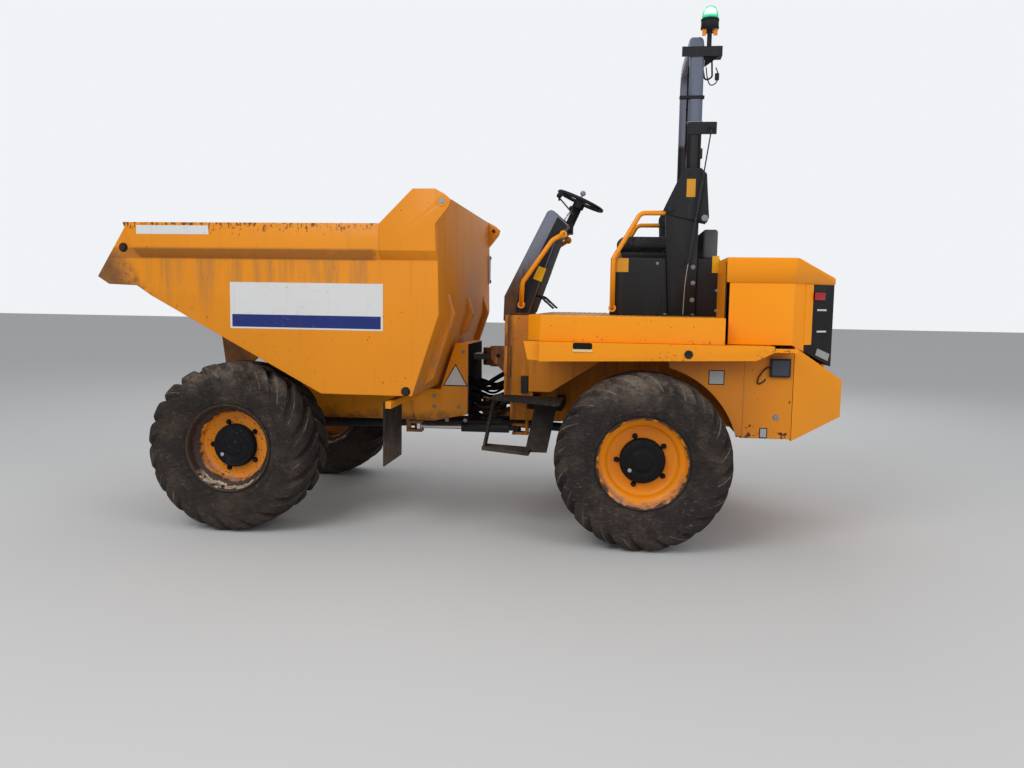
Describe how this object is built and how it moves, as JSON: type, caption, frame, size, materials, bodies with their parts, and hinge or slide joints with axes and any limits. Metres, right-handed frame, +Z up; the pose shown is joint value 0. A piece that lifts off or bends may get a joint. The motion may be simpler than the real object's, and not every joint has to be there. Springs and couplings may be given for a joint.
{
  "type": "articulated site dumper",
  "caption": "Articulated site dumper with a forward-tipping skip, side-access platform, folding rollover hoop and four large driven wheels.",
  "frame": {"origin": "on the ground under the middle of the overall length and width", "axes": "+X towards the tail, so the skip is at -X; +Y towards the right side; +Z up"},
  "size_m": [5.06, 2.45, 3.638],
  "materials": {
    "tyre": "black rubber greyed by dried mud",
    "wheel_paint": "orange-yellow paint, muddy near the flange; hub end black",
    "axle_black": "black paint on cast iron, dusty",
    "skip_paint": "orange-yellow paint, scratched and spattered with mud",
    "frame_paint": "orange-yellow paint with mud in the corners",
    "body_paint": "glossy orange-yellow paint",
    "ram_black": "black paint, satin",
    "chrome_rod": "hard chrome",
    "rubber": "black rubber sheet, muddy",
    "engine_iron": "dark painted casting",
    "grille_black": "black mesh and louvres",
    "panel_black": "black moulded panel, fine grain",
    "seat_cover": "black vinyl with sewn seams",
    "console_grey": "dark grey moulding, brown with mud below",
    "wheel_rim_black": "black foam rim",
    "frame_dark": "dark blue-grey textured paint",
    "step_dark": "dark paint under dried mud",
    "lens_green": "translucent green, lit",
    "lens_red": "translucent red"
  },
  "bodies": {
    "rear_frame": {"rear_axle": "axle_black", "rear_chassis": "frame_paint", "counterweight": "body_paint", "side_boxes": "body_paint", "engine_block": "engine_iron", "transmission": "engine_iron", "rear_prop_shaft": "ram_black", "platform": "body_paint", "fenders": "body_paint", "seat_box": "panel_black", "rear_cowl": "panel_black", "seat_base": "panel_black", "seat_cushion": "seat_cover", "seat_back": "seat_cover", "console": "console_grey", "steering_column": "panel_black", "rops_posts": "frame_dark", "grab_rails": "body_paint", "steps": "step_dark", "side_lamps": "panel_black"},
    "front_frame": {"front_chassis": "frame_paint", "front_axle": "axle_black", "front_mudflaps": "rubber", "front_prop_shaft": "ram_black"},
    "skip": {"skip_chute": "skip_paint", "skip_floor": "skip_paint", "skip_rear_wall": "skip_paint", "skip_sides": "skip_paint", "skip_rims": "skip_paint", "skip_rear_flanges": "skip_paint", "skip_ribs": "skip_paint", "skip_brackets": "skip_paint"},
    "tip_ram_barrels": {"tip_ram_barrels": "ram_black"},
    "tip_ram_rods": {"tip_ram_rods": "chrome_rod"},
    "steer_ram_barrel_left": {"steer_ram_barrel_left": "ram_black"},
    "steer_ram_rod_left": {"steer_ram_rod_left": "chrome_rod"},
    "steer_ram_barrel_right": {"steer_ram_barrel_right": "ram_black"},
    "steer_ram_rod_right": {"steer_ram_rod_right": "chrome_rod"},
    "rollover_hoop": {"rops_hoop": "frame_dark", "beacon_mast": "frame_dark", "beacon_lens": "lens_green", "beacon_cable": "rubber"},
    "gas_struts": {"gas_struts": "ram_black"},
    "steering_wheel": {"steering_wheel": "wheel_rim_black"},
    "bonnet": {"bonnet_shell": "body_paint", "bonnet_grille": "grille_black", "tail_lamps": "lens_red"},
    "wheel_front_left": {"tyre_front_left": "tyre", "wheel_front_left": "wheel_paint"},
    "wheel_front_right": {"tyre_front_right": "tyre", "wheel_front_right": "wheel_paint"},
    "wheel_rear_left": {"tyre_rear_left": "tyre", "wheel_rear_left": "wheel_paint"},
    "wheel_rear_right": {"tyre_rear_right": "tyre", "wheel_rear_right": "wheel_paint"}
  },
  "joints": [
    {"name": "steer", "type": "hinge", "parent": "rear_frame", "child": "front_frame", "pos_m": [0.077, 0, 0.95], "axis": [0, 0, 1], "range_deg": [-30, 30]},
    {"name": "skip_tip", "type": "hinge", "parent": "front_frame", "child": "skip", "pos_m": [-1.883, 0, 1.02], "axis": [0, -1, 0], "range_deg": [0, 75]},
    {"name": "tip_ram_swing", "type": "hinge", "parent": "front_frame", "child": "tip_ram_barrels", "pos_m": [-0.583, 0, 0.78], "axis": [0, -1, 0], "range_deg": [-9.12, 0]},
    {"name": "tip_ram_stroke", "type": "slide", "parent": "tip_ram_barrels", "child": "tip_ram_rods", "axis": [-0.9567, 0, 0.2911], "range_m": [0, 0.4131]},
    {"name": "steer_ram_swing_left", "type": "hinge", "parent": "rear_frame", "child": "steer_ram_barrel_left", "pos_m": [0.287, -0.24, 0.64], "axis": [0, 0, 1], "range_deg": [-23.34, 23.34]},
    {"name": "steer_ram_stroke_left", "type": "slide", "parent": "steer_ram_barrel_left", "child": "steer_ram_rod_left", "axis": [-0.9992, -0.0394, 0], "range_m": [-0.1325, 0.1325]},
    {"name": "steer_ram_swing_right", "type": "hinge", "parent": "rear_frame", "child": "steer_ram_barrel_right", "pos_m": [0.287, 0.24, 0.64], "axis": [0, 0, 1], "range_deg": [-23.34, 23.34]},
    {"name": "steer_ram_stroke_right", "type": "slide", "parent": "steer_ram_barrel_right", "child": "steer_ram_rod_right", "axis": [-0.9992, 0.0394, 0], "range_m": [-0.1325, 0.1325]},
    {"name": "wheel_front_left_spin", "type": "hinge", "parent": "front_frame", "child": "wheel_front_left", "pos_m": [-1.583, -0.975, 0.578], "axis": [0, 1, 0], "continuous": true},
    {"name": "wheel_front_right_spin", "type": "hinge", "parent": "front_frame", "child": "wheel_front_right", "pos_m": [-1.583, 0.975, 0.578], "axis": [0, 1, 0], "continuous": true},
    {"name": "wheel_rear_left_spin", "type": "hinge", "parent": "rear_frame", "child": "wheel_rear_left", "pos_m": [1.207, -0.975, 0.578], "axis": [0, 1, 0], "continuous": true},
    {"name": "wheel_rear_right_spin", "type": "hinge", "parent": "rear_frame", "child": "wheel_rear_right", "pos_m": [1.207, 0.975, 0.578], "axis": [0, 1, 0], "continuous": true},
    {"name": "hoop_fold", "type": "hinge", "parent": "rear_frame", "child": "rollover_hoop", "pos_m": [1.366, 0, 2.262], "axis": [0, -1, 0], "range_deg": [0, 90]},
    {"name": "gas_strut_swing", "type": "hinge", "parent": "rear_frame", "child": "gas_struts", "pos_m": [1.5, 0, 1.895], "axis": [0, -1, 0], "range_deg": [0, 56.4]},
    {"name": "steering_wheel_turn", "type": "hinge", "parent": "rear_frame", "child": "steering_wheel", "pos_m": [0.717, 0, 2.372], "axis": [0.4067, 0, 0.9135], "continuous": true},
    {"name": "bonnet_open", "type": "hinge", "parent": "rear_frame", "child": "bonnet", "pos_m": [2.443, 0, 1.196], "axis": [0, 1, 0], "range_deg": [0, 50]}
  ],
  "couplings": [
    {"joint": "tip_ram_swing", "follows": "skip_tip", "ratio": -0.11577},
    {"joint": "tip_ram_stroke", "follows": "skip_tip", "m_per_rad": 0.30938},
    {"joint": "steer_ram_swing_left", "follows": "steer", "ratio": 0.74821},
    {"joint": "steer_ram_stroke_left", "follows": "steer", "m_per_rad": -0.24326},
    {"joint": "steer_ram_swing_right", "follows": "steer", "ratio": 0.74821},
    {"joint": "steer_ram_stroke_right", "follows": "steer", "m_per_rad": 0.24326},
    {"joint": "gas_strut_swing", "follows": "hoop_fold", "ratio": 0.61442}
  ]
}
